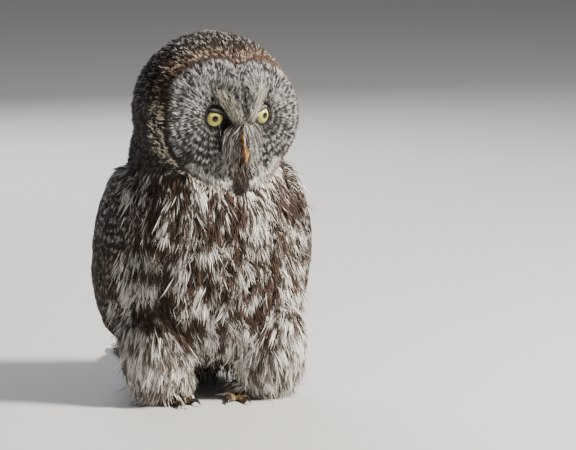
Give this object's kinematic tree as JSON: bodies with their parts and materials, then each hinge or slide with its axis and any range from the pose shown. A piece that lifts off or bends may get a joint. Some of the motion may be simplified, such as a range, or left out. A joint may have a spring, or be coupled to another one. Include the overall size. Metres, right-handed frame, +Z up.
{
  "type": "great grey owl, still life-size model",
  "caption": "Great grey owl standing upright with folded wings, its round facial disc turned a little to its left.",
  "frame": {"origin": "on the floor under the middle of the whole bird's box", "axes": "+Z up, the body faces -Y, its left side is +X, the tail runs back along +Y"},
  "size_m": [0.2554, 0.3976, 0.4268],
  "materials": {
    "plumage": "soft feathers, brown-grey barred and streaked with white",
    "eye": "wet, pale yellow iris and black pupil",
    "bill": "satin yellow horn",
    "claw": "satin near-black horn"
  },
  "bodies": {
    "root": {"head": "plumage", "neck": "plumage", "trunk": "plumage", "tail": "plumage", "wing_left": "plumage", "wing_right": "plumage", "leg_left": "plumage", "leg_right": "plumage", "foot_left": "plumage", "foot_right": "plumage", "eye_left": "eye", "eye_right": "eye", "bill_upper": "bill", "bill_lower": "bill", "claw_left_inner": "claw", "claw_left_middle": "claw", "claw_left_outer": "claw", "claw_left_rear": "claw", "claw_right_inner": "claw", "claw_right_middle": "claw", "claw_right_outer": "claw", "claw_right_rear": "claw"}
  },
  "joints": []
}
